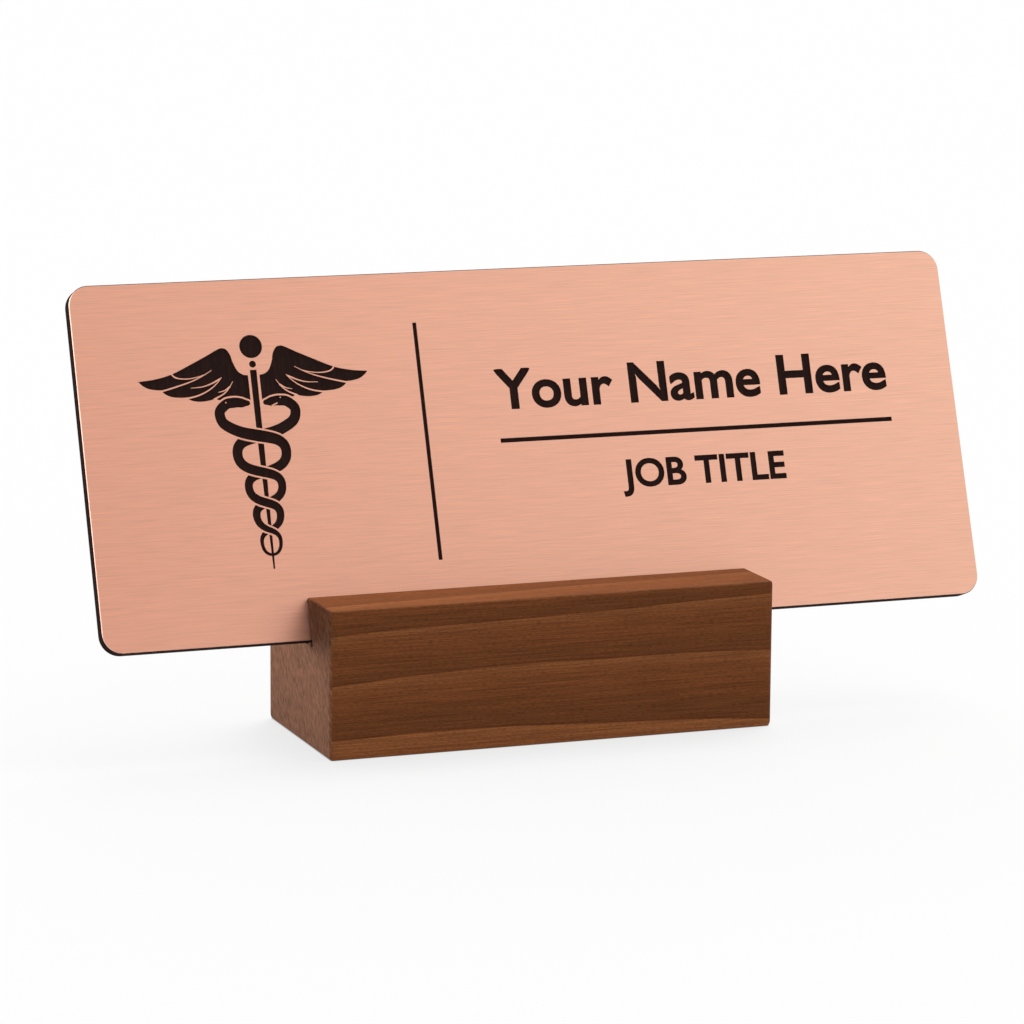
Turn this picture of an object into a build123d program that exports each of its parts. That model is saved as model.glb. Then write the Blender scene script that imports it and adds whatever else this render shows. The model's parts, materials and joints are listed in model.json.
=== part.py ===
from build123d import *
from math import cos, radians, sin
import os

# Desk name plate: an engraved sheet that stands in a slanted slot along a wooden block.
# Millimetres. X runs along the block, Y towards its back, Z up.
# The origin is the middle of the block's underside.

# Wooden block
block_length = 114.0
block_depth = 48.0
block_height = 36.3
upright_edge_radius = 1.0  # the four corners seen from above
upper_edge_radius = 0.6  # round the top
lower_edge_radius = 0.9  # round the underside

# Two-ply engraving sheet: a dark core with a thin metallic face bonded to its front
plate_width = 228.6
plate_height = 88.9
plate_corner_radius = 5.0
core_thickness = 3.7
face_thickness = 0.3

# How the sheet stands in the block
lean_angle = 20.0  # degrees back from upright
face_setback = 18.7  # front of the block to the sheet's face, at the block's top
seat_depth = 10.7  # how far the sheet's face reaches down into the slot
plate_offset = 6.4  # middle of the sheet to the right of the block's middle
front_clearance = 1.1  # between the sheet's face and the slot's front wall
rear_clearance = 0.1  # between the sheet's back, which leans that way, and the slot's rear wall
floor_clearance = 0.1  # between the sheet's lower edge and the slot's floor
groove_depth = 1.5  # of the saw groove along the slot's front wall, below the sheet's lower edge

# Marks cut through the face to the core: a winged staff, an upright line and a level line
divider_from_left = 86.0
divider_length = 58.8
divider_width = 1.0
divider_rise = 2.4  # middle of the line above the sheet's middle
rule_margin = 18.6  # from the divider, and from the sheet's right edge
rule_shift = 0.3  # to the right of the middle between them
rule_width = 1.1
rule_rise = 1.4
emblem_height = 57.2
emblem_rise = 2.1
emblem_axis_share = 0.51  # of the column left of the divider
emblem_gap_share = 0.007  # strip of face left between two neighbouring marks, of the emblem's height

cut_overrun = 2.0

# Places in the winged staff, as shares of its height: outwards from the staff and down from the top
ball_shares = ((0.0507, 0.0498), (0.1266, 0.0148))  # level and radius of the two balls
staff_shares = ((0.151, 0.029), (0.510, 0.0255), (1.0, 0.0075))  # level and width down the staff

# One snake from nose to tail: outwards, down, width, and how steeply it keeps falling there
snake_shares = (
    (0.040, 0.292, 0.023, 1.0),
    (0.063, 0.290, 0.039, 1.0),
    (0.098, 0.287, 0.044, 1.0),
    (0.140, 0.297, 0.044, 1.0),
    (0.166, 0.338, 0.044, 1.0),
    (0.131, 0.390, 0.047, 1.0),
    (0.0, 0.434, 0.051, 0.45),
    (-0.107, 0.506, 0.043, 1.0),
    (0.0, 0.590, 0.041, 0.33),
    (0.073, 0.648, 0.035, 1.0),
    (0.0, 0.720, 0.037, 0.33),
    (-0.052, 0.769, 0.034, 1.0),
    (0.0, 0.836, 0.025, 0.33),
    (0.041, 0.885, 0.016, 1.0),
    (0.0, 0.940, 0.012, 0.0),
)
loop_knots = (4, 7, 9, 11, 13)  # where a loop of the snake is widest
handle_share = 0.42  # length of a curve's handle, of the straight line between its ends
span_steps = 6  # steps along the curve between two knots

# Outline of one wing in runs from corner to corner: outwards and down
wing_shares = (
    ((0.504, 0.179), (0.435, 0.172), (0.358, 0.154), (0.260, 0.111), (0.190, 0.078), (0.152, 0.059),
     (0.131, 0.052), (0.110, 0.058), (0.094, 0.083), (0.086, 0.114), (0.068, 0.153), (0.047, 0.169),
     (0.025, 0.173)),
    ((0.025, 0.173), (0.025, 0.292)),
    ((0.025, 0.292), (0.167, 0.272)),
    ((0.167, 0.272), (0.174, 0.265)),
    ((0.174, 0.265), (0.199, 0.272), (0.238, 0.276), (0.273, 0.272), (0.295, 0.262)),
    ((0.295, 0.262), (0.295, 0.255)),
    ((0.295, 0.255), (0.321, 0.255), (0.360, 0.251), (0.386, 0.241), (0.403, 0.228)),
    ((0.403, 0.228), (0.403, 0.219)),
    ((0.403, 0.219), (0.426, 0.218), (0.461, 0.211), (0.486, 0.197), (0.504, 0.179)),
)
# Thin lines between the feathers, from their wide end: outwards and down
feather_shares = (
    ((0.412, 0.225), (0.339, 0.207), (0.269, 0.186), (0.220, 0.165), (0.183, 0.145)),
    ((0.361, 0.143), (0.349, 0.163), (0.327, 0.173), (0.287, 0.176), (0.243, 0.170), (0.217, 0.162)),
    ((0.303, 0.260), (0.246, 0.248), (0.196, 0.225), (0.162, 0.199), (0.142, 0.177)),
    ((0.149, 0.183), (0.190, 0.202), (0.229, 0.213), (0.278, 0.216)),
    ((0.182, 0.268), (0.142, 0.249), (0.117, 0.228), (0.095, 0.197)),
    ((0.110, 0.219), (0.133, 0.233), (0.161, 0.240)),
)
feather_tip_share = 0.35  # width of such a line at its thin end, of its wide end

# Worked out from the above
plate_thickness = core_thickness + face_thickness
lean = radians(lean_angle)
face_top_y = face_setback - block_depth / 2
seat_y = face_top_y - seat_depth * sin(lean)
seat_z = block_height - seat_depth * cos(lean)
plate_plane = Plane(origin=(plate_offset, seat_y, seat_z), x_dir=(1, 0, 0), z_dir=(0, -cos(lean), sin(lean)))

# Places on the sheet's face, from the middle of its lower edge
plate_left = -plate_width / 2
plate_middle = plate_height / 2
divider_x = plate_left + divider_from_left
emblem_x = plate_left + divider_from_left * emblem_axis_share
emblem_top = plate_middle + emblem_rise + emblem_height / 2
emblem_gap = emblem_height * emblem_gap_share
rule_column = plate_width - divider_from_left
rule_length = rule_column - 2 * rule_margin
rule_x = divider_x + rule_column / 2 + rule_shift
sides = (-1, 1)


def plate_outline():
    """The sheet's outline, from the middle of its lower edge."""
    return Pos(0, plate_middle) * RectangleRounded(plate_width, plate_height, plate_corner_radius)


def ply(outline, thickness, depth):
    """One layer of the sheet, its front this deep below the sheet's face."""
    return plate_plane * Pos(0, 0, -depth - thickness) * extrude(outline, thickness)


def slot_point(distance, height):
    """A place in the block's section: in front of the sheet's face, and up its lean from its lower edge."""
    place = plate_plane.from_local_coords((0, height, distance))
    return (place.Y, place.Z)


def base_block():
    """The block with rounded edges and a slanted slot, open at both ends, with a groove along its front."""
    block = Pos(0, 0, block_height / 2) * Box(block_length, block_depth, block_height)
    block = fillet(block.edges().filter_by(Axis.Z), upright_edge_radius)
    block = fillet(block.faces().sort_by(Axis.Z)[-1].edges(), upper_edge_radius)
    block = fillet(block.faces().sort_by(Axis.Z)[0].edges(), lower_edge_radius)
    rear = plate_thickness + rear_clearance
    slot_top = seat_depth + rear + cut_overrun
    corners = [
        slot_point(front_clearance, slot_top),
        slot_point(front_clearance, -groove_depth),
        slot_point(0, -groove_depth),
        slot_point(0, -floor_clearance),
        slot_point(-rear, -floor_clearance),
        slot_point(-rear, slot_top),
    ]
    section = Plane.YZ * make_face(Polyline(*corners, close=True))
    slot = extrude(section, block_length / 2 + cut_overrun, both=True)
    return block - slot


def emblem_point(outwards, down, side):
    """A place in the winged staff, on the sheet's face."""
    return Vector(emblem_x + side * outwards * emblem_height, emblem_top - down * emblem_height)


def knot_direction(points, number, steepness):
    """The way a line runs through one of its points: along its neighbours, fallen by the steepness."""
    before = points[max(number - 1, 0)]
    after = points[min(number + 1, len(points) - 1)]
    way = after - before
    return Vector(way.X, way.Y * steepness).normalized()


def smooth_line(knots):
    """Steps of (place, direction, width) along cubic curves through knots of (place, width, steepness)."""
    points = [place for place, width, steepness in knots]
    ways = [knot_direction(points, number, knot[2]) for number, knot in enumerate(knots)]
    steps = []
    for number in range(len(knots) - 1):
        start, end = points[number], points[number + 1]
        handle = handle_share * (end - start).length
        curve = Bezier(start, start + ways[number] * handle, end - ways[number + 1] * handle, end)
        last = number == len(knots) - 2
        for step in range(span_steps + last):
            along = step / span_steps
            width = knots[number][1] * (1 - along) + knots[number + 1][1] * along
            steps.append((curve @ along, curve % along, width))
    return steps


def band(steps, widening=0):
    """A face along a line, as wide as the line says and a widening on each side, with round ends."""
    left, right = [], []
    for place, way, width in steps:
        across = Vector(-way.Y, way.X) * (width / 2 + widening)
        left.append(place + across)
        right.append(place - across)
    start, start_way, start_width = steps[0]
    end, end_way, end_width = steps[-1]
    start_tip = start - start_way * (start_width / 2 + widening)
    end_tip = end + end_way * (end_width / 2 + widening)
    outline = [
        Spline(*left),
        ThreePointArc(left[-1], end_tip, right[-1]),
        Spline(*reversed(right)),
        ThreePointArc(right[0], start_tip, left[0]),
    ]
    return make_face(outline)


def snake_line(side):
    """The line of the snake whose head is on this side."""
    knots = []
    for outwards, down, width, steepness in snake_shares:
        knots.append((emblem_point(outwards, down, side), width * emblem_height, steepness))
    return smooth_line(knots)


def wing(side, head):
    """One wing, cut into feathers by thin lines and kept a gap away from the snake's head."""
    runs = []
    for run in wing_shares:
        points = [emblem_point(outwards, down, side) for outwards, down in run]
        runs.append(Spline(*points) if len(points) > 2 else Line(*points))
    shape = make_face(runs) - band(head, emblem_gap)
    for line in feather_shares:
        knots = []
        for number, (outwards, down) in enumerate(line):
            taper = 1 - (1 - feather_tip_share) * number / (len(line) - 1)
            knots.append((emblem_point(outwards, down, side), emblem_gap * taper, 1))
        shape -= band(smooth_line(knots))
    return shape


def staff():
    """The tapered staff below the balls."""
    left, right = [], []
    for level, width in staff_shares:
        left.append(emblem_point(width / 2, level, sides[0]))
        right.append(emblem_point(width / 2, level, sides[1]))
    return make_face(Polyline(*left, *reversed(right), close=True))


def emblem():
    """The winged staff with two snakes, each passing in front where it runs from left to right."""
    lines = {side: snake_line(side) for side in sides}
    snakes = {side: band(lines[side]) for side in sides}
    shaft = staff()
    for crossing, (above, below) in enumerate(zip(loop_knots, loop_knots[1:])):
        front = sides[crossing % len(sides)]
        strand = lines[front][above * span_steps:below * span_steps + 1]
        halo = band(strand, emblem_gap)
        snakes[-front] -= halo
        shaft -= halo
    marks = [shaft]
    for side in sides:
        marks.append(snakes[side])
        marks.append(wing(side, lines[side][:loop_knots[0] * span_steps + 1]))
    for level, radius in ball_shares:
        marks.append(Pos(emblem_point(0, level, 0)) * Circle(radius * emblem_height))
    return marks


def lines():
    """The upright line beside the emblem and the level line in the other column."""
    divider = Pos(divider_x, plate_middle + divider_rise) * Rectangle(divider_width, divider_length)
    rule = Pos(rule_x, plate_middle + rule_rise) * Rectangle(rule_length, rule_width)
    return [divider, rule]


def plate_core():
    """The dark core of the sheet."""
    return ply(plate_outline(), core_thickness, face_thickness)


def face_ply():
    """The thin face of the sheet, with the marks cut right through it."""
    marked_outline = plate_outline() - (emblem() + lines())
    return ply(marked_outline, face_thickness, 0)


os.makedirs("parts", exist_ok=True)
pieces = {"base_block": base_block(), "plate_core": plate_core(), "face_ply": face_ply()}
for name, piece in pieces.items():
    export_step(piece, f"parts/{name}.step")
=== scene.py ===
import json
import bpy
import numpy as np
from mathutils import Matrix, Vector
from mathutils.geometry import delaunay_2d_cdt


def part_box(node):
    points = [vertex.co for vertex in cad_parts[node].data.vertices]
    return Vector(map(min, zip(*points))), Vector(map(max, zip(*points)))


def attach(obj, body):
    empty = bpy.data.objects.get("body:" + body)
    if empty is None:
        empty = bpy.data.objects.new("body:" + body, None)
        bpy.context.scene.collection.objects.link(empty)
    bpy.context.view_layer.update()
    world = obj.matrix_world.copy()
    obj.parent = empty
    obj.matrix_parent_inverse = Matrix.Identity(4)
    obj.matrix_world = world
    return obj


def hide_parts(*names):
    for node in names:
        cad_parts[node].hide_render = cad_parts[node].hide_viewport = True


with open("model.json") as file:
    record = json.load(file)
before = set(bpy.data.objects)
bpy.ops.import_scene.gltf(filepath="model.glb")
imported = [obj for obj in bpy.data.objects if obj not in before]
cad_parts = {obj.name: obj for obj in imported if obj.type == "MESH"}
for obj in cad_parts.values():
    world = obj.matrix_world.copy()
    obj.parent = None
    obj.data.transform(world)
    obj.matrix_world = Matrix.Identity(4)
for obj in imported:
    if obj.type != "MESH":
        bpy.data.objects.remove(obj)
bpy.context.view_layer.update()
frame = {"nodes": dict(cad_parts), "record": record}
mm = 0.001
samePlace = 1e-5  # places nearer than this count as one
mitreLimit = 0.35  # keeps sharp corners short
print("frame loaded:", ", ".join(sorted(frame["nodes"])))

# The sheet's own axes: along it, up its lean, and out of its face. The lift joint runs up the lean.
upAxis = np.array(frame["record"]["behaviour"]["joints"][0]["axis"], dtype=float)
upAxis /= np.linalg.norm(upAxis)
sheetAxes = np.vstack([[1, 0, 0], upAxis, np.cross([1, 0, 0], upAxis)])
leanTurn = float(np.arctan2(upAxis[1], upAxis[2]))  # stands the sheet's face upright


# lowest and highest place of a CAD node along the sheet's axes, in mm: each corner times the three axes
def sheetSpan(node):
    mesh = frame["nodes"][node].data
    corners = np.empty(len(mesh.vertices) * 3)
    mesh.vertices.foreach_get("co", corners)
    places = corners.reshape(-1, 3) @ sheetAxes.T / mm
    return places.min(axis=0), places.max(axis=0)


coreLow, coreHigh = sheetSpan("plate_core")
faceLow, faceHigh = sheetSpan("face_ply")
sheetSize = (coreHigh - coreLow)[:2]
sheetCorner = np.array([coreLow[0], coreHigh[1], faceHigh[2]])  # top left corner of the face
skinDepth = faceHigh[2] - faceLow[2]
sheetDepth = faceHigh[2] - coreLow[2]


# sheet millimetres (right, down, out of the face) into the frame: corner plus right, minus down, plus out
def fromSheet(places):
    return (sheetCorner + np.asarray(places) * [1, -1, 1]) @ sheetAxes * mm


# puts whole arrays of places and faces into a new mesh object
def addPiece(name, places, faces, materials, slots=None, smooth=False):
    mesh = bpy.data.meshes.new(name)
    mesh.from_pydata(places.tolist(), [], faces)
    for material in materials:
        mesh.materials.append(material)
    if slots is not None:
        mesh.polygons.foreach_set("material_index", np.asarray(slots, dtype=np.int32))
    mesh.polygons.foreach_set("use_smooth", np.full(len(mesh.polygons), smooth))
    mesh.update()
    piece = bpy.data.objects.new(name, mesh)
    bpy.context.scene.collection.objects.link(piece)
    return piece


# faces of a closed skin over rings of places: four-sided ones from each ring to the next, one on each end
def ringFaces(rings, spots):
    grid = np.arange(rings * spots).reshape(rings, spots)
    ahead = np.roll(grid, -1, axis=1)
    sides = np.stack([grid[:-1], ahead[:-1], ahead[1:], grid[1:]], axis=-1).reshape(-1, 4)
    return sides.tolist() + [grid[0][::-1].tolist(), grid[-1].tolist()]


# one node with its settings; an input that is given a socket is linked to it
def addNode(tree, kind, inputs=(), **settings):
    node = tree.nodes.new("ShaderNode" + kind)
    for key, value in settings.items():
        setattr(node, key, value)
    for key, value in dict(inputs).items():
        if isinstance(value, bpy.types.NodeSocket):
            tree.links.new(value, node.inputs[key])
        else:
            node.inputs[key].default_value = value
    return node


# one step of arithmetic on sockets and numbers
def sums(tree, operation, *values):
    return addNode(tree, "Math", dict(enumerate(values)), operation=operation).outputs["Value"]


# carries a value from the range low-high over to the range outLow-outHigh, and no further
def spread(tree, value, low, high, outLow=0.0, outHigh=1.0):
    ends = {"Value": value, "From Min": low, "From Max": high, "To Min": outLow, "To Max": outHigh}
    return addNode(tree, "MapRange", ends).outputs["Result"]


# a factor that goes from 1 - amount to 1 + amount as a value goes from 0 to 1
def vary(tree, value, amount):
    return spread(tree, value, 0, 1, 1 - amount, 1 + amount)


# the first colour times 1 - share, plus the second times share
def blend(tree, share, first, second):
    return addNode(tree, "Mix", {0: share, 6: first, 7: second}, data_type="RGBA").outputs[2]


# a colour made lighter or darker by a factor
def tone(tree, colour, factor):
    return addNode(tree, "VectorMath", {0: colour, "Scale": factor}, operation="SCALE").outputs["Vector"]


# Grain, used by every finish: a noise with its own number of cells per metre along each axis, turned
# about X first, and spread so that low becomes 0 and high becomes 1
def grainGroup():
    group = bpy.data.node_groups.new("stretchedGrain", "ShaderNodeTree")
    for name in ("Place", "Turn", "Cells"):
        group.interface.new_socket(name, in_out="INPUT", socket_type="NodeSocketVector")
    for name in ("Detail", "Low", "High"):
        group.interface.new_socket(name, in_out="INPUT", socket_type="NodeSocketFloat")
    group.interface.new_socket("Grain", in_out="OUTPUT", socket_type="NodeSocketFloat")
    given = group.nodes.new("NodeGroupInput").outputs
    turned = addNode(group, "Mapping", {"Vector": given["Place"], "Rotation": given["Turn"]})
    cells = addNode(
        group, "VectorMath", {0: turned.outputs["Vector"], 1: given["Cells"]}, operation="MULTIPLY")
    noise = addNode(
        group, "TexNoise", {"Vector": cells.outputs["Vector"], "Detail": given["Detail"], "Scale": 1.0})
    share = spread(group, noise.outputs["Fac"], given["Low"], given["High"])
    group.links.new(share, group.nodes.new("NodeGroupOutput").inputs["Grain"])
    return group


stretchedGrain = grainGroup()


# the shared grain with a finish's own values
def grain(tree, cells, turn=0.0, detail=3.0, low=0.3, high=0.7):
    node = tree.nodes.new("ShaderNodeGroup")
    node.node_tree = stretchedGrain
    tree.links.new(addNode(tree, "TexCoord").outputs["Object"], node.inputs["Place"])
    values = {"Turn": (turn, 0, 0), "Cells": cells, "Detail": detail, "Low": low, "High": high}
    for key, value in values.items():
        node.inputs[key].default_value = value
    return node.outputs["Grain"]


# a finish: its colour and roughness sockets, its bump height with strength and distance, and the plain
# numbers on its shader
def finish(tree, colour, roughness, height=None, bump=(), **numbers):
    shader = tree.nodes["Principled BSDF"]
    tree.links.new(colour, shader.inputs["Base Color"])
    tree.links.new(roughness, shader.inputs["Roughness"])
    if height is not None:
        relief = addNode(tree, "Bump", {"Height": height, "Strength": bump[0], "Distance": bump[1]})
        tree.links.new(relief.outputs["Normal"], shader.inputs["Normal"])
    for key, value in numbers.items():
        shader.inputs[key.replace("_", " ")].default_value = value


# a new material and its nodes
def newFinish(name):
    material = bpy.data.materials.new(name)
    material.use_nodes = True
    return material, material.node_tree


# Brushed copper: fine and broad streaks along the sheet, and painted light: along a tilted line the colour
# goes from shaded at its lower left corner to lit at its upper right one
copperLook = {
    # painted light: shaded and lit copper at the two corners, and the tilt of the line between them
    "shadedLowerLeft": (0.775, 0.3804, 0.2693, 1), "litUpperRight": (0.915, 0.5264, 0.3819, 1), "paintedLightTilt": 0.35,
    "fineCells": (90, 8000, 8000), "broadCells": (14, 700, 700), "fineTone": 0.10, "broadTone": 0.003,
    "roughness": (0.42, 0.54), "bump": (0.05, 0.00003),
}


def copperFinish():
    look = copperLook
    material, tree = newFinish("brushedCopper")
    # painted light: darker towards the lower left corner, lighter towards the upper right one
    way = sheetAxes[0] + look["paintedLightTilt"] * sheetAxes[1]
    low, high = fromSheet([[0, sheetSize[1], 0], [sheetSize[0], 0, 0]]) @ way
    place = addNode(tree, "TexCoord").outputs["Object"]
    towardsLit = addNode(tree, "VectorMath", {0: place, 1: tuple(way)}, operation="DOT_PRODUCT").outputs["Value"]
    colour = blend(tree, spread(tree, towardsLit, low, high), look["shadedLowerLeft"], look["litUpperRight"])
    fine = grain(tree, look["fineCells"], leanTurn, detail=2)
    broad = grain(tree, look["broadCells"], leanTurn)
    streaks = sums(
        tree, "MULTIPLY", vary(tree, fine, look["fineTone"]), vary(tree, broad, look["broadTone"]))
    rough = spread(tree, fine, 0, 1, *look["roughness"])
    finish(tree, tone(tree, colour, streaks), rough, fine, look["bump"], Metallic=1.0)
    return material


# Cut edge of the skin: the same metal, brighter and unbrushed
cutEdgeLook = {
    "dull": (0.80, 0.47, 0.36, 1), "bright": (0.90, 0.56, 0.45, 1), "cells": (900, 900, 900),
    "roughness": (0.3, 0.45),
}


def cutEdgeFinish():
    look = cutEdgeLook
    material, tree = newFinish("cutCopper")
    patches = grain(tree, look["cells"])
    colour = blend(tree, patches, look["dull"], look["bright"])
    finish(tree, colour, spread(tree, patches, 0, 1, *look["roughness"]), Metallic=1.0)
    return material


# Dark core: near-black plastic with faint tool lines up and down it
coreLook = {
    "dark": (0.018, 0.0092, 0.0078, 1), "light": (0.026, 0.0132, 0.0112, 1), "cells": (1600, 260, 260),
    "roughness": (0.75, 0.9), "bump": (0.25, 0.00004), "gloss": 0.02, "rimTone": 0.6,
}


def coreFinish(name, shade):
    look = coreLook
    material, tree = newFinish(name)
    lines = grain(tree, look["cells"], leanTurn)
    colour = tone(tree, blend(tree, lines, look["dark"], look["light"]), shade)
    rough = spread(tree, lines, 0, 1, *look["roughness"])
    finish(tree, colour, rough, lines, look["bump"], Specular_IOR_Level=look["gloss"])
    return material


# Walnut. The ring level at a place is its height, fanned and bowed along X and slanted along Y. A quadratic
# of the level counts the rings, which pale slowly upwards and then turn dark at once. Its tone is the foot's
# tone times the change at each ring step that the count has passed. Fibres, hairs, pores and mottling run
# along X. On the sawn ends, which the endGrain attribute marks, flecks stand over faint rings, with painted
# shade that darkens them towards the foot and a painted shadow of the sheet on the lip in front of the slot.
# The paintedSlotShade attribute paints shade inside the slot.
walnutLook = {
    "fanLevel": 0.020, "fan": 2.5, "bow": 0.42, "bowFrom": 0.020, "bowFall": (0.020, 0.031),
    "slant": 0.5, "slantFrom": -0.024,
    "warpCells": (11, 30, 30), "warp": 0.0007, "ringCount": (-0.2481, 41.84, 937.0),
    "bands": ((0.0, (0.1211, 0.0378, 0.0125, 1)), (0.04, (0.1437, 0.0465, 0.0158, 1)),
              (0.2, (0.1471, 0.0480, 0.0160, 1)), (0.47, (0.1712, 0.0546, 0.0179, 1)),
              (0.75, (0.1873, 0.0613, 0.0199, 1)), (0.9, (0.2131, 0.0734, 0.0252, 1)),
              (0.985, (0.2295, 0.0803, 0.0276, 1)), (1.0, (0.1211, 0.0378, 0.0125, 1))),
    "footTone": 1.16, "stepWidth": 0.004,
    "ringSteps": ((0, 0.86), (3, 1.12), (4, 0.89)),  # ring, change of tone
    "fibreCells": (22, 2800, 2800), "fibreTone": 0.06, "hairCells": (80, 5600, 5600), "hairTone": 0.25,
    "mottleCells": (22, 260, 260), "mottleTone": 0.02,
    "poreCells": (800, 5000, 5000), "poreSpread": (0.42, 0.72), "poreTone": 0.34,
    "endDark": (0.086, 0.0335, 0.0145, 1), "endLight": (0.306, 0.130, 0.0695, 1),
    # painted shade on the ends: darker towards the foot, and the sheet's shadow on the lip in front of the
    # slot
    "fleckCells": (900, 2200, 520), "endShadeRise": (0.0, 0.020), "endShadeTones": (0.86, 1.05),
    "lipShadowRise": (0.0245, 0.0285), "lipShadowBack": (-0.0115, -0.0065), "lipShadowTone": 0.62,
    # the slot's tone on the next line is painted shade inside the slot
    "endTurn": 0.5, "endRings": 0.15, "endCoat": 0.04, "coatRoughness": 0.35, "paintedSlotTone": 0.12,
    "roughness": (0.55, 0.70), "gloss": 0.03, "bump": (0.18, 0.00005),
}


def walnutFinish():
    look = walnutLook
    material, tree = newFinish("walnut")
    spot = addNode(tree, "SeparateXYZ", {"Vector": addNode(tree, "TexCoord").outputs["Object"]}).outputs
    fan = sums(tree, "MULTIPLY_ADD", spot["X"], -look["fan"], 1.0)
    rise = sums(tree, "SUBTRACT", spot["Z"], look["fanLevel"])
    level = sums(tree, "MULTIPLY_ADD", rise, fan, look["fanLevel"])
    bow = spread(tree, spot["Z"], *look["bowFall"], look["bow"], 0.0)
    aside = sums(tree, "SUBTRACT", spot["X"], look["bowFrom"])
    level = sums(tree, "MULTIPLY_ADD", sums(tree, "MULTIPLY", aside, aside), bow, level)
    back = sums(tree, "SUBTRACT", spot["Y"], look["slantFrom"])
    level = sums(tree, "MULTIPLY_ADD", back, look["slant"], level)
    bend = spread(tree, grain(tree, look["warpCells"], detail=2), 0, 1, -look["warp"], look["warp"])
    level = sums(tree, "ADD", level, bend)
    start, slope, curve = look["ringCount"]
    count = sums(tree, "MULTIPLY_ADD", sums(tree, "MULTIPLY_ADD", level, curve, slope), level, start)
    bands = addNode(tree, "ValToRGB", {"Fac": sums(tree, "FRACT", count)})
    ramp = bands.color_ramp.elements
    ramp[0].color = look["bands"][0][1]
    ramp[1].color = look["bands"][-1][1]
    for share, colour in look["bands"][1:-1]:
        ramp.new(share).color = colour
    shade = look["footTone"]
    for ring, change in look["ringSteps"]:
        step = spread(tree, count, ring - look["stepWidth"], ring, 1.0, change)
        shade = sums(tree, "MULTIPLY", shade, step)
    fibre = grain(tree, look["fibreCells"], detail=4)
    shade = sums(tree, "MULTIPLY", shade, vary(tree, fibre, look["fibreTone"]))
    for kind in ("hair", "mottle"):
        lines = grain(tree, look[kind + "Cells"], detail=2)
        shade = sums(tree, "MULTIPLY", shade, vary(tree, lines, look[kind + "Tone"]))
    poreLow, poreHigh = look["poreSpread"]
    pore = grain(tree, look["poreCells"], detail=1, low=poreLow, high=poreHigh)
    shade = sums(tree, "MULTIPLY", shade, spread(tree, pore, 0, 1, 1.0, 1 - look["poreTone"]))
    sideColour = tone(tree, bands.outputs["Color"], shade)
    fleck = grain(tree, look["fleckCells"], look["endTurn"], detail=4)
    endColour = blend(tree, fleck, look["endDark"], look["endLight"])
    endColour = blend(tree, look["endRings"], endColour, bands.outputs["Color"])
    # painted shade: the sheet's shadow on the lip in front of the slot, and the ends darker towards the foot
    lipShadow = sums(
        tree, "MULTIPLY", spread(tree, spot["Z"], *look["lipShadowRise"]),
        spread(tree, spot["Y"], *look["lipShadowBack"], 1.0, 0.0))
    endColour = tone(tree, endColour, sums(
        tree, "MULTIPLY", spread(tree, spot["Z"], *look["endShadeRise"], *look["endShadeTones"]),
        spread(tree, lipShadow, 0, 1, 1.0, look["lipShadowTone"])))
    ends = addNode(tree, "Attribute", attribute_name="endGrain").outputs["Fac"]
    rough = spread(tree, fibre, 0, 1, *look["roughness"])
    height = sums(tree, "SUBTRACT", fibre, pore)
    # painted shade inside the slot
    cut = addNode(tree, "Attribute", attribute_name="paintedSlotShade").outputs["Fac"]
    paintedSlotShade = spread(tree, cut, 0, 1, 1.0, look["paintedSlotTone"])
    colour = tone(tree, blend(tree, ends, sideColour, endColour), paintedSlotShade)
    finish(
        tree, colour, rough, height, look["bump"],
        Specular_IOR_Level=look["gloss"], Coat_Roughness=look["coatRoughness"])
    coat = spread(tree, ends, 0, 1, 0, look["endCoat"])
    tree.links.new(coat, tree.nodes["Principled BSDF"].inputs["Coat Weight"])
    return material


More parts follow.
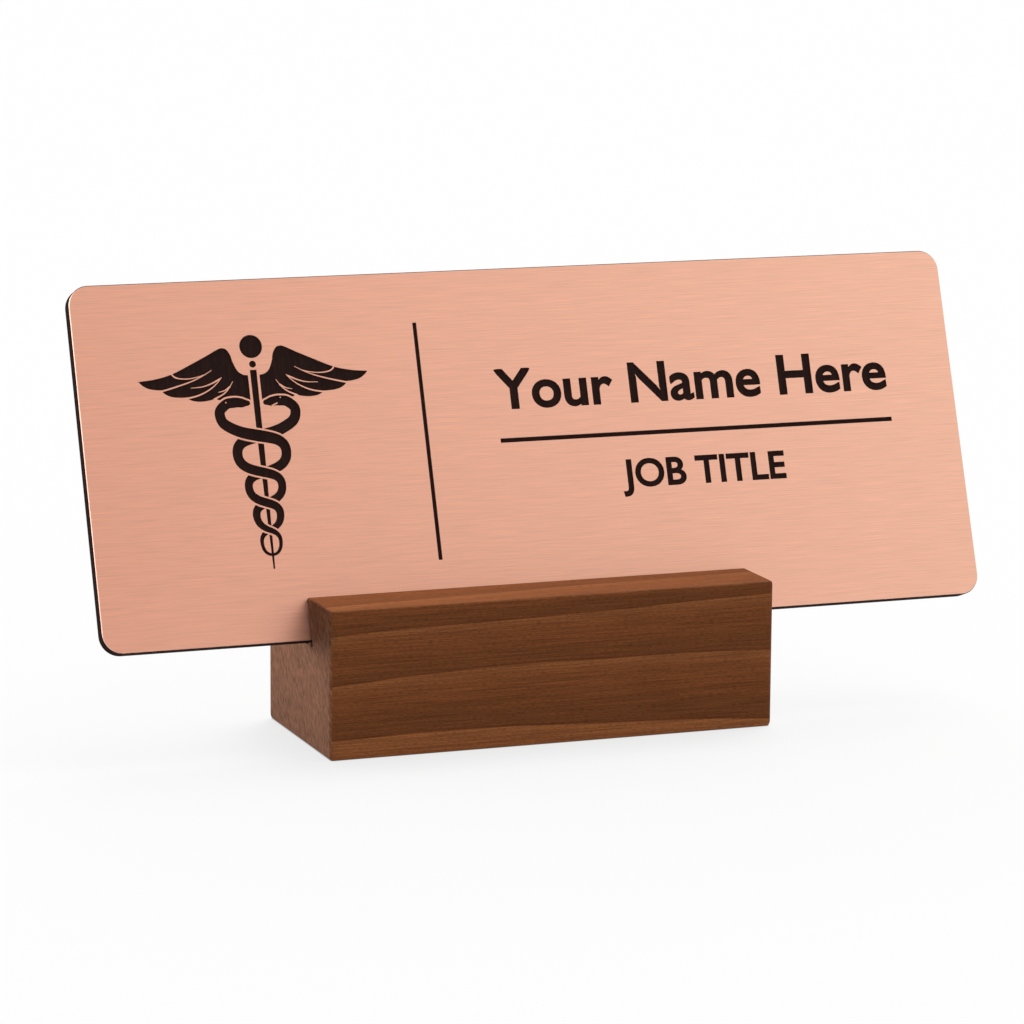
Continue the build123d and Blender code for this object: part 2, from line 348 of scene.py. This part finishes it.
# The winged staff, in shares of its height: outwards from the staff and down from its top
emblemLook = {
    "axis": 43.86, "top": 13.75, "height": 57.2, "gap": 0.4, "steps": 16, "handle": 0.42, "wingHandle": 0.34,
    "balls": ((0.0507, 0.0498), (0.1266, 0.0148)),  # level, radius
    "staff": ((0.151, 0.029), (0.510, 0.0255), (1.0, 0.0075)),  # level, width
    "snake": (  # outwards, down, width, steepness
        (0.040, 0.292, 0.023, 1.0), (0.063, 0.290, 0.039, 1.0), (0.098, 0.287, 0.044, 1.0),
        (0.140, 0.297, 0.044, 1.0), (0.166, 0.338, 0.044, 1.0), (0.131, 0.390, 0.047, 1.0),
        (0.0, 0.434, 0.051, 0.45), (-0.107, 0.506, 0.043, 1.0), (0.0, 0.590, 0.041, 0.33),
        (0.073, 0.648, 0.035, 1.0), (0.0, 0.720, 0.037, 0.33), (-0.052, 0.769, 0.034, 1.0),
        (0.0, 0.836, 0.025, 0.33), (0.041, 0.885, 0.016, 1.0), (0.0, 0.940, 0.012, 0.0)),
    "loops": (4, 7, 9, 11, 13),  # knots where a loop is widest
    "eyes": {"left": (0.134, 0.285), "right": (0.106, 0.274)}, "eyeRadius": 0.003, "eyeSteps": 12,
    "mouth": ((0.0669, 0.3072), (0.0889, 0.298)), "mouthWidth": 0.0052, "mouthSteps": 2,
    "wing": (  # runs from corner to corner
        ((0.504, 0.179), (0.435, 0.172), (0.358, 0.154), (0.260, 0.111), (0.190, 0.078), (0.152, 0.059),
         (0.131, 0.052), (0.110, 0.058), (0.094, 0.083), (0.086, 0.114), (0.068, 0.153), (0.047, 0.169),
         (0.025, 0.173)),
        ((0.025, 0.173), (0.025, 0.292)),
        ((0.025, 0.292), (0.167, 0.272)),
        ((0.167, 0.272), (0.174, 0.265)),
        ((0.174, 0.265), (0.199, 0.272), (0.238, 0.276), (0.273, 0.272), (0.295, 0.262)),
        ((0.295, 0.262), (0.295, 0.255)),
        ((0.295, 0.255), (0.321, 0.255), (0.360, 0.251), (0.386, 0.241), (0.403, 0.228)),
        ((0.403, 0.228), (0.403, 0.219)),
        ((0.403, 0.219), (0.426, 0.218), (0.461, 0.211), (0.486, 0.197), (0.504, 0.179))),
    "feathers": (  # lines between them, from the wide end
        ((0.412, 0.225), (0.339, 0.207), (0.269, 0.186), (0.220, 0.165), (0.183, 0.145)),
        ((0.361, 0.143), (0.349, 0.163), (0.327, 0.173), (0.287, 0.176), (0.243, 0.170), (0.217, 0.162)),
        ((0.303, 0.260), (0.246, 0.248), (0.196, 0.225), (0.162, 0.199), (0.142, 0.177)),
        ((0.149, 0.183), (0.190, 0.202), (0.229, 0.213), (0.278, 0.216)),
        ((0.182, 0.268), (0.142, 0.249), (0.117, 0.228), (0.095, 0.197)),
        ((0.110, 0.219), (0.133, 0.233), (0.161, 0.240))),
    "featherTip": 0.35,
}


# shares into sheet millimetres: the axis plus or minus outwards times height, the top plus down times height
def emblemPlace(shares, side):
    look = emblemLook
    shares = np.atleast_2d(np.asarray(shares, dtype=float))[:, :2]
    return shares * look["height"] * [side, 1] + [look["axis"], look["top"]]


# places on cubic spans from a to d with handles b and c:
# (1-t)^3 a + 3(1-t)^2 t b + 3(1-t) t^2 c + t^3 d, for t from 0 up to but not at 1
def cubicSpans(a, b, c, d, steps):
    t = np.linspace(0, 1, steps, endpoint=False)[None, :, None]
    a, b, c, d = (ends[:, None] for ends in (a, b, c, d))
    places = (1 - t) ** 3 * a + 3 * (1 - t) ** 2 * t * b + 3 * (1 - t) * t ** 2 * c + t ** 3 * d
    return places.reshape(-1, 2)


# a curve through knots: at each it runs along the line between its neighbours, made flatter where the
# steepness is under 1, and its handles are a share of the span. Gives places, directions and widths.
def smoothLine(knots, widths, steepness, steps, handle):
    ways = np.vstack([knots[1] - knots[0], knots[2:] - knots[:-2], knots[-1] - knots[-2]])
    ways = ways * np.column_stack([np.ones(len(knots)), steepness])
    ways /= np.linalg.norm(ways, axis=1, keepdims=True)
    reach = handle * np.linalg.norm(np.diff(knots, axis=0), axis=1, keepdims=True)
    a, d = knots[:-1], knots[1:]
    line = np.vstack([cubicSpans(a, a + ways[:-1] * reach, d - ways[1:] * reach, d, steps), knots[-1]])
    slope = np.gradient(line, axis=0)
    slope[::steps] = ways
    slope /= np.linalg.norm(slope, axis=1, keepdims=True)
    spots = np.linspace(0, len(knots) - 1, len(line))
    return line, slope, np.interp(spots, np.arange(len(knots)), widths)


# outline of a line with width: each place plus and minus half the width across it, with round ends
def bandOutline(line, slope, width, widening=0.0, capSteps=9):
    half = (width / 2 + widening)[:, None]
    across = np.column_stack([-slope[:, 1], slope[:, 0]])
    turn = np.linspace(0, np.pi, capSteps)[1:-1, None]
    endCap = line[-1] + half[-1] * (np.cos(turn) * across[-1] + np.sin(turn) * slope[-1])
    startCap = line[0] - half[0] * (np.cos(turn) * across[0] + np.sin(turn) * slope[0])
    return np.vstack([line + half * across, endCap, (line - half * across)[::-1], startCap])


# circle: centre plus radius times the cosine and sine of each turn
def ringOutline(centre, radius, steps=48):
    turn = np.linspace(0, 2 * np.pi, steps, endpoint=False)
    return centre + radius * np.column_stack([np.cos(turn), np.sin(turn)])


# rounded rectangle: four quarter circles about corners set in by the radius
def roundedOutline(size, radius, inset=0.0, steps=16):
    turn = np.linspace(0, np.pi / 2, steps)
    quarter = np.column_stack([np.cos(turn), np.sin(turn)]) * (radius - inset)
    turned = np.column_stack([-quarter[:, 1], quarter[:, 0]])
    low, high = np.array([radius, radius]), np.asarray(size) - radius
    return np.vstack([high + quarter, [low[0], high[1]] + turned, low - quarter, [high[0], low[1]] - turned])


# every outline of the winged staff, by name
def emblemOutlines():
    look = emblemLook
    steps, height = look["steps"], look["height"]
    snake = np.array(look["snake"])
    outlines, lines = {}, {}
    for side, name in ((-1, "left"), (1, "right")):
        line = smoothLine(emblemPlace(snake, side), snake[:, 2] * height, snake[:, 3], steps, look["handle"])
        lines[name] = line
        outlines[name + "Snake"] = bandOutline(*line)
        head = [part[:look["loops"][0] * steps + 1] for part in line]
        outlines[name + "Head"] = bandOutline(*head, widening=look["gap"])
        eye = emblemPlace(look["eyes"][name], side)[0]
        outlines[name + "Eye"] = ringOutline(eye, look["eyeRadius"] * height, look["eyeSteps"])
        runs = []
        for run in look["wing"]:
            corners, ones = emblemPlace(run, side), np.ones(len(run))
            curve = smoothLine(corners, ones, ones, steps, look["wingHandle"])[0] if len(run) > 2 else corners
            runs.append(curve[:-1])
        outlines[name + "Wing"] = np.vstack(runs)
        for number, feather in enumerate(look["feathers"]):
            spots, ones = emblemPlace(feather, side), np.ones(len(feather))
            widths = look["gap"] * np.linspace(1, look["featherTip"], len(feather))
            curve = smoothLine(spots, widths, ones, steps, look["wingHandle"])
            outlines[f"{name}Feather{number}"] = bandOutline(*curve)
    # each snake passes in front where it runs from left to right
    for number, (above, below) in enumerate(zip(look["loops"], look["loops"][1:])):
        front = ("left", "right")[number % 2]
        strand = [part[above * steps:below * steps + 1] for part in lines[front]]
        outlines[f"{front}Halo{number}"] = bandOutline(*strand, widening=look["gap"])
    spots, ones = emblemPlace(look["mouth"], 1), np.ones(len(look["mouth"]))
    mouth = smoothLine(spots, look["mouthWidth"] * height * ones, ones, look["mouthSteps"], look["handle"])
    outlines["rightMouth"] = bandOutline(*mouth)
    half = [(width / 2, level) for level, width in look["staff"]]
    outlines["staff"] = np.vstack([emblemPlace(half, -1), emblemPlace(half, 1)[::-1]])
    for number, (level, radius) in enumerate(look["balls"]):
        outlines[f"ball{number}"] = ringOutline(emblemPlace((0, level), 1)[0], radius * height)
    return outlines


# Lines beside and between: left, top, width and height
ruleLook = {"divider": (85.5, 12.65, 1.0, 58.8), "rule": (104.9, 42.5, 105.4, 1.1)}
# Placeholder lettering: middle, baseline, width, height of a capital, and how much each stroke grows
wordsLook = (
    {"words": "Your Name Here", "middle": 157.6, "baseline": 35.4, "width": 105.2, "capital": 10.2,
     "weight": 0.36},
    {"words": "JOB TITLE", "middle": 157.6, "baseline": 56.6, "width": 44.0, "capital": 7.2,
     "weight": 0.26},
)


# the mean of two edges' normals, made as long as a mitre: divided by its length squared, or by the limit
def mitred(normals):
    return normals / np.maximum((normals ** 2).sum(axis=1, keepdims=True), mitreLimit)


# moves each place of a closed outline to its right: by the mean of its two edges' normals, mitred
def growOutline(curve, distance):
    edge = np.roll(curve, -1, axis=0) - curve
    edge /= np.linalg.norm(edge, axis=1, keepdims=True)
    normal = np.column_stack([edge[:, 1], -edge[:, 0]])
    both = (normal + np.roll(normal, 1, axis=0)) / 2
    return curve + mitred(both) * distance


# twice the area inside an outline, below zero where it runs clockwise
def turningOf(outline):
    ahead = np.roll(outline, -1, axis=0)
    return (outline[:, 0] * ahead[:, 1] - ahead[:, 0] * outline[:, 1]).sum()


# outlines of a line of letters: the built-in font's cubic spans, set to the width and the capital's height
def wordOutlines(look, steps=6):
    text = bpy.data.curves.new("words", "FONT")
    text.body = look["words"]
    holder = bpy.data.objects.new("words", text)
    bpy.context.scene.collection.objects.link(holder)
    outlines = []
    for spline in holder.to_curve(bpy.context.evaluated_depsgraph_get()).splines:
        spots = []
        for key in ("co", "handle_right", "handle_left"):
            flat = np.empty(len(spline.bezier_points) * 3)
            spline.bezier_points.foreach_get(key, flat)
            spots.append(flat.reshape(-1, 3)[:, :2])
        ahead = [np.roll(spot, -1, axis=0) for spot in spots]
        curve = cubicSpans(spots[0], spots[1], ahead[2], ahead[0], steps)
        outlines.append(curve[np.linalg.norm(curve - np.roll(curve, 1, axis=0), axis=1) > samePlace])
    holder.to_curve_clear()
    bpy.data.objects.remove(holder)
    low, high = np.vstack(outlines).min(axis=0), np.vstack(outlines).max(axis=0)
    growth = 2 * look["weight"]
    scale = np.array([(look["width"] - growth) / (high[0] - low[0]), -(look["capital"] - growth) / high[1]])
    middle = np.array([(low[0] + high[0]) / 2, 0])
    foot = np.array([look["middle"], look["baseline"] - look["weight"]])
    outlines = [(curve - middle) * scale + foot for curve in outlines]
    outwards = np.sign(sum(turningOf(curve) for curve in outlines))
    return [growOutline(curve, outwards * look["weight"]) for curve in outlines]


# how often an outline runs round each place: +1 for each edge on its right that rises past it, and -1 for
# each that falls
def windings(outline, places):
    turns = np.zeros(len(places), dtype=int)
    near = np.flatnonzero(((places > outline.min(axis=0)) & (places < outline.max(axis=0))).all(axis=1))
    x, y = places[near, :1], places[near, 1:]
    (ax, ay), (bx, by) = outline.T, np.roll(outline, -1, axis=0).T
    side = (bx - ax) * (y - ay) - (x - ax) * (by - ay)
    rising, falling = (ay <= y) & (by > y) & (side > 0), (ay > y) & (by <= y) & (side < 0)
    turns[near] = rising.sum(axis=1) - falling.sum(axis=1)
    return turns


# the edges of triangles, and whether no other triangle runs an edge the other way
def triangleEdges(triangles, count):
    edges = np.vstack([triangles[:, [0, 1]], triangles[:, [1, 2]], triangles[:, [2, 0]]])
    return edges, ~np.isin(edges[:, 0] * count + edges[:, 1], edges[:, 1] * count + edges[:, 0])


# The copper skin: all outlines cut the plane into triangles, and those that no mark holds are copper.
# Its cut edges slope outwards from the top down to the core, most of all at the sheet's sides. Along its
# top and its foot the skin stops short of the core's edge.
skinLook = {"cornerRadius": 5.0, "edgeSlope": 0.06, "rimSlope": 0.14, "shortage": 0.06}


def copperSkin(materials):
    look = skinLook
    outlines = emblemOutlines()
    for name, (left, top, width, height) in ruleLook.items():
        right, foot = left + width, top + height
        outlines[name] = np.array([[left, top], [right, top], [right, foot], [left, foot]])
    for line, words in enumerate(wordsLook):
        for number, curve in enumerate(wordOutlines(words)):
            outlines[f"letter{line}.{number}"] = curve
    short = np.array([0, look["shortage"]])
    outlines["sheet"] = roundedOutline(sheetSize - 2 * short, look["cornerRadius"], look["rimSlope"]) + short
    starts = np.cumsum([0] + [len(curve) for curve in outlines.values()])
    rings = [np.arange(start, end) for start, end in zip(starts, starts[1:])]
    edges = np.vstack([np.column_stack([ring, np.roll(ring, -1)]) for ring in rings])
    allPlaces = [Vector(place) for place in np.vstack(list(outlines.values()))]
    cut = delaunay_2d_cdt(allPlaces, edges.tolist(), [], 0, samePlace, False)
    places, triangles = np.array([tuple(place) for place in cut[0]]), np.array(cut[2])
    middles = places[triangles].mean(axis=1)
    turns = {name: windings(curve, middles) for name, curve in outlines.items()}

    # true where the outlines whose names hold these words run round a triangle
    def within(*words):
        return sum(turn for name, turn in turns.items() if all(word in name for word in words)) != 0

    dark = within("ball") | within("divider") | within("rule") | within("letter")
    dark |= within("staff") & ~within("Halo")
    for side, other in (("left", "right"), ("right", "left")):
        pale = within(other, "Halo") | within(side, "Eye") | within(side, "Mouth")
        dark |= within(side, "Snake") & ~pale
        feathers = np.any([turns[name] != 0 for name in turns if side + "Feather" in name], axis=0)
        dark |= within(side, "Wing") & ~feathers & ~within(side, "Head")
    copper = triangles[within("sheet") & ~dark]
    # a triangle without a neighbour is a speck, left where a letter's outline crosses itself
    lone = triangleEdges(copper, len(places))[1].reshape(3, -1).all(axis=0)
    used, copper = np.unique(copper[~lone], return_inverse=True)
    places, copper = places[used], copper.reshape(-1, 3)

    # the copper lies to the left of a border edge
    count = len(places)
    edges, bare = triangleEdges(copper, count)
    border = edges[bare]
    way = places[border[:, 1]] - places[border[:, 0]]
    way /= np.maximum(np.linalg.norm(way, axis=1, keepdims=True), samePlace)
    outward = np.zeros_like(places)
    for end in (0, 1):
        np.add.at(outward, border[:, end], np.column_stack([way[:, 1], -way[:, 0]]) / 2)
    fromSide = np.minimum(places[:, 0], sheetSize[0] - places[:, 0])
    slope = np.interp(fromSide, [0, look["cornerRadius"]], [look["rimSlope"], look["edgeSlope"]])[:, None]
    top = np.column_stack([places, np.zeros(count)])
    low = np.column_stack([places + mitred(outward) * slope, np.full(count, -skinDepth)])
    # sheet places run downwards, so a triangle that turns anticlockwise there faces the core
    walls = np.column_stack([border[:, 0], border[:, 1], border[:, 1] + count, border[:, 0] + count])
    faces = copper[:, ::-1].tolist() + (copper + count).tolist() + walls.tolist()
    slots = np.repeat([0, 0, 1], [len(copper), len(copper), len(walls)])
    print("copper skin:", len(copper), "triangles on top,", len(border), "border edges")
    return addPiece("copperSkin", fromSheet(np.vstack([top, low])), faces, materials, slots)


# The dark core: rings of the sheet's outline, set in by r(1-cos) and back by r(1-sin) round its rear edge
coreShape = {"cornerRadius": 5.0, "rearRadius": 0.25, "rearSteps": 6}


def darkSheet(materials):
    look = coreShape
    turn = np.linspace(0, np.pi / 2, look["rearSteps"])
    insets = np.append(0.0, look["rearRadius"] * (1 - np.cos(turn)))
    depths = np.append(skinDepth, sheetDepth - look["rearRadius"] * (1 - np.sin(turn)))
    rings = []
    for inset, depth in zip(insets, depths):
        outline = roundedOutline(sheetSize, look["cornerRadius"], inset)
        rings.append(np.column_stack([outline, np.full(len(outline), -depth)]))
    faces = ringFaces(len(rings), len(rings[0]))
    slots = np.repeat([1, 0], [len(faces) - 2, 2])
    print("dark core:", len(faces), "faces")
    return addPiece("darkCore", fromSheet(np.vstack(rings)), faces, materials, slots)


# The walnut block: a section with a slanted slot, carried along X. Towards each end, at a distance t from
# it, a face moves into the wood by r - sqrt(r^2 - (r-t)^2) with its own edge radius r. The endGrain attribute
# falls off over that rounding, and paintedSlotShade, 1 inside the slot, marks where shade is painted.
blockLook = {
    "uprightRadius": 1.0, "upperRadius": 0.6, "lowerRadius": 0.9, "slotRadius": 0.25, "ridgeRadius": 0.55,
    "frontClearance": 1.1, "rearClearance": 0.1, "floorClearance": 0.1, "grooveDepth": 1.5,
    "arcSteps": 7, "endSteps": 11, "pitch": 2.0, "capInset": 0.4, "slack": 0.001, "lipHeight": 1.0,
    "endFade": (1.2, 1.6), "sharpAngle": 50,  # share on the end and its fall per radius; degrees
}


# replaces each corner of a closed outline by an arc, a slerp between its two tangent places about its
# centre, and fills the straight runs at the pitch
def roundCorners(corners, radii, steps, pitch):
    before, after = np.roll(corners, 1, axis=0) - corners, np.roll(corners, -1, axis=0) - corners
    before /= np.linalg.norm(before, axis=1, keepdims=True)
    after /= np.linalg.norm(after, axis=1, keepdims=True)
    half = np.arccos((before * after).sum(axis=1)) / 2
    middle = before + after
    middle /= np.linalg.norm(middle, axis=1, keepdims=True)
    centres = corners + middle * (radii / np.sin(half))[:, None]
    tangent = (radii / np.tan(half))[:, None]
    first, last = corners + before * tangent - centres, corners + after * tangent - centres
    t, swing = np.linspace(0, 1, steps)[None, :, None], (np.pi - 2 * half)[:, None, None]
    arcs = (np.sin((1 - t) * swing) * first[:, None] + np.sin(t * swing) * last[:, None]) / np.sin(swing)
    arcs += centres[:, None]
    outline = []
    for arc, following in zip(arcs, np.roll(arcs, -1, axis=0)):
        parts = max(int(np.linalg.norm(following[0] - arc[-1]) / pitch), 1)
        outline += [arc, np.linspace(arc[-1], following[0], parts, endpoint=False)[1:]]
    return np.vstack(outline)


def walnutBlock(material):
    look = blockLook
    low, high = (np.array(corner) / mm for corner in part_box("base_block"))
    up, out = sheetAxes[1][1:], sheetAxes[2][1:]
    face, front, back = faceHigh[2], faceHigh[2] + look["frontClearance"], coreLow[2] - look["rearClearance"]
    floor, groove = coreLow[1] - look["floorClearance"], coreLow[1] - look["grooveDepth"]

    # the place (y, z) at a distance along the face's normal that has this height
    def wallAt(distance, height):
        return [(distance - height * out[1]) / out[0], height]

    # the place (y, z) at a distance along the face's normal and one up the lean
    def slotAt(distance, rise):
        return list(out * distance + up * rise)

    corners = np.array([
        [low[1], low[2]], [high[1], low[2]], [high[1], high[2]], wallAt(back, high[2]),
        slotAt(back, floor), slotAt(face, floor), slotAt(face, groove), slotAt(front, groove),
        wallAt(front, high[2]), [low[1], high[2]]])
    upright, upper, lower, slot, ridge = (
        look[key + "Radius"] for key in ("upright", "upper", "lower", "slot", "ridge"))
    radii = np.array([lower, lower, upper, slot, slot, ridge, slot, slot, slot, upper])
    section = roundCorners(corners, radii, look["arcSteps"], look["pitch"])
    y, z = section.T
    # which way the wood lies: square to the outer faces, and to the left of the section's run in the slot
    inY = np.interp(y, [low[1], low[1] + lower, high[1] - lower, high[1]], [1, 1, -1, -1])
    inZ = np.interp(z, [low[2], low[2] + lower, high[2] - upper, high[2]], [1, 1, -1, -1])
    run = np.roll(section, -1, axis=0) - np.roll(section, 1, axis=0)
    slotY, slotZ = np.column_stack([-run[:, 1], run[:, 0]]).T / np.linalg.norm(run, axis=1)
    depth, rise = section @ out, section @ up
    slack = look["slack"]
    inSlot = (depth < front + slack) & (depth > back - slack) & (rise > groove - slack)
    deep = z < high[2] - look["lipHeight"]
    # distances from the end, dense where the rounding is steep, after the cap's own inner ring
    t = upright * (1 - np.sin(np.linspace(np.pi / 2, 0, look["endSteps"])))
    ends = np.append(0, t)
    extra = np.append(look["capInset"], np.zeros(len(t)))[:, None]

    # how far a face has moved in at each distance from the end, with the cap's inset on its inner ring
    def rounding(radius):
        near = np.clip(radius - ends, 0, None)
        return (radius - np.sqrt(radius ** 2 - near ** 2))[:, None] + extra

    level = np.where(inZ > 0, rounding(lower), rounding(upper))
    inward = rounding(slot) - extra / 2
    moveY = rounding(upright) * np.where(inSlot, 0, inY) + inward * np.where(inSlot, slotY, 0)
    moveZ = level * np.where(inSlot & deep, 0, inZ) + inward * np.where(inSlot & deep, slotZ, 0)
    length = high[0] - low[0]
    straight = np.linspace(upright, length - upright, int(length / look["pitch"]))[1:-1]
    flat = np.zeros((len(straight), len(section)))
    stations = np.concatenate([ends, straight, length - ends[::-1]]) + low[0]
    moveY, moveZ = np.vstack([moveY, flat, moveY[::-1]]), np.vstack([moveZ, flat, moveZ[::-1]])
    places = np.stack([np.broadcast_to(stations[:, None], moveY.shape), y + moveY, z + moveZ], axis=-1)
    faces = ringFaces(*moveY.shape)
    piece = addPiece("walnutBlock", places.reshape(-1, 3) * mm, faces, [material], smooth=True)
    share = np.zeros(moveY.shape)
    most, fall = look["endFade"]
    share[:len(ends)] = np.clip(most - ends / upright * fall, 0, 1)[:, None]
    share[-len(ends):] = share[:len(ends)][::-1]
    fromEnd = np.minimum(stations - low[0], high[0] - stations)
    # painted shade inside the slot, fading in from each end
    shade = np.clip(fromEnd / slot, 0, 1)[:, None] * (inSlot & deep)
    for name, values in (("endGrain", share), ("paintedSlotShade", shade)):
        marks = piece.data.attributes.new(name, "FLOAT", "POINT")
        marks.data.foreach_set("value", values.ravel())
    piece.data.set_sharp_from_angle(angle=float(np.radians(look["sharpAngle"])))
    print("walnut block:", len(faces), "faces,", len(section), "places round its section")
    return piece


skin = copperSkin([copperFinish(), cutEdgeFinish()])
core = darkSheet([coreFinish("darkCore", 1.0), coreFinish("darkRim", coreLook["rimTone"])])
block = walnutBlock(walnutFinish())
for piece, node, body, slot in (
    (skin, "face_ply", "plate", "brushed_copper"),
    (core, "plate_core", "plate", "dark_core"),
    (block, "base_block", "base", "walnut"),
):
    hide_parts(node)
    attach(piece, body)
print("pieces dressed")

# Camera at the photograph's view: yaw to the right, pitch down, a slight roll
cameraLook = {
    "place": (-0.37903, -1.0048, 0.25438), "yaw": 0.35859, "pitch": 0.18574, "roll": 0.00703,
    "lens": 157.310, "sensor": 36.0, "clip": (0.05, 100),
}


# ahead = (sin yaw cos pitch, cos yaw cos pitch, -sin pitch), right = (cos yaw, -sin yaw, 0), then the roll
def addCamera():
    look = cameraLook
    (sinYaw, cosYaw), (sinPitch, cosPitch), (sinRoll, cosRoll) = (
        (np.sin(look[key]), np.cos(look[key])) for key in ("yaw", "pitch", "roll"))
    ahead = Vector((sinYaw * cosPitch, cosYaw * cosPitch, -sinPitch))
    right = Vector((cosYaw, -sinYaw, 0))
    above = right.cross(ahead)
    axes = Matrix((right * cosRoll + above * sinRoll, above * cosRoll - right * sinRoll, -ahead)).transposed()
    lens = bpy.data.cameras.new("camera")
    lens.lens, lens.sensor_width = look["lens"], look["sensor"]
    lens.clip_start, lens.clip_end = look["clip"]
    camera = bpy.data.objects.new("camera", lens)
    camera.matrix_world = Matrix.Translation(look["place"]) @ axes.to_4x4()
    bpy.context.scene.collection.objects.link(camera)
    bpy.context.scene.camera = camera


# Pale floor that glows, so that its shadows stay faint; the glow stops just inside the block's foot, which
# paints a contact shade there. The sky is its low level plus, for each soft light, strength * (share of the
# light's direction)^power.
stageLook = {
    "floorSize": 40.0, "floorColour": (0.10, 0.10, 0.10), "floorGlow": 0.770, "floorCells": (3, 3, 3),
    # the glow fades out under the block's foot: painted contact shade
    "floorTones": (0.995, 1.0), "floorRoughness": (0.8, 0.85), "footShadeFade": (-0.0008, -0.0001), "low": 0.17,
    "lights": (  # direction, power, strength
        ((0.35, 0.40, 1.00), 20.0, 15.8),
        ((0.70, 0.00, 1.00), 20.0, 2.0),
        ((0.50, 0.86, 0.09), 10.0, 8.5),
        ((-0.50, 0.86, 0.09), 10.0, 4.2),
        ((-0.86, 0.50, 0.09), 10.0, 2.65),
        ((0.35, -0.50, 1.00), 6.0, 0.75),
        ((0.35, -0.82, 0.20), 4.0, 0.69)),
}


# how far a place on the floor lies outside the block's foot, whose corners are round: the length of what |x|
# and |y| have beyond the foot less its corner radius r, minus r
def footDistance(tree):
    low, high = (np.array(corner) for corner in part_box("base_block"))
    radius = blockLook["uprightRadius"] * mm
    reach = (high - low) / 2 - radius
    place = addNode(tree, "TexCoord").outputs["Object"]
    for operation, other in (
            ("SUBTRACT", (low + high) / 2), ("ABSOLUTE", None), ("SUBTRACT", reach), ("MULTIPLY", (1, 1, 0)),
            ("MAXIMUM", (0, 0, 0)), ("LENGTH", None)):
        inputs = {0: place} if other is None else {0: place, 1: tuple(other)}
        node = addNode(tree, "VectorMath", inputs, operation=operation)
        place = node.outputs["Value" if operation == "LENGTH" else "Vector"]
    return sums(tree, "SUBTRACT", place, radius)


def addStage():
    look = stageLook
    half = look["floorSize"] / 2
    corners = np.array([[-half, -half, 0], [half, -half, 0], [half, half, 0], [-half, half, 0]])
    material, tree = newFinish("paleFloor")
    patches = grain(tree, look["floorCells"])
    colour = tone(tree, look["floorColour"], spread(tree, patches, 0, 1, *look["floorTones"]))
    rough = spread(tree, patches, 0, 1, *look["floorRoughness"])
    finish(tree, colour, rough, Specular_IOR_Level=0.0, Emission_Strength=look["floorGlow"])
    # painted contact shade: the floor does not glow under the block's foot
    glow = spread(tree, footDistance(tree), *look["footShadeFade"])
    tree.links.new(glow, tree.nodes["Principled BSDF"].inputs["Emission Color"])
    addPiece("floor", corners, [[0, 1, 2, 3]], [material])
    world = bpy.data.worlds.new("softSky")
    world.use_nodes = True
    tree = world.node_tree
    sight = addNode(tree, "TexCoord").outputs["Generated"]
    level = look["low"]
    for way, power, strength in look["lights"]:
        aim = tuple(Vector(way).normalized())
        share = addNode(tree, "VectorMath", {0: sight, 1: aim}, operation="DOT_PRODUCT").outputs["Value"]
        lobe = sums(tree, "POWER", sums(tree, "MAXIMUM", share, 0.0), power)
        level = sums(tree, "MULTIPLY_ADD", lobe, strength, level)
    tree.links.new(level, tree.nodes["Background"].inputs["Strength"])
    tree.nodes["Background"].inputs["Color"].default_value = (1, 1, 1, 1)
    bpy.context.scene.world = world
    bpy.context.scene.view_settings.view_transform = "Standard"


addCamera()
addStage()
print("camera and light set")
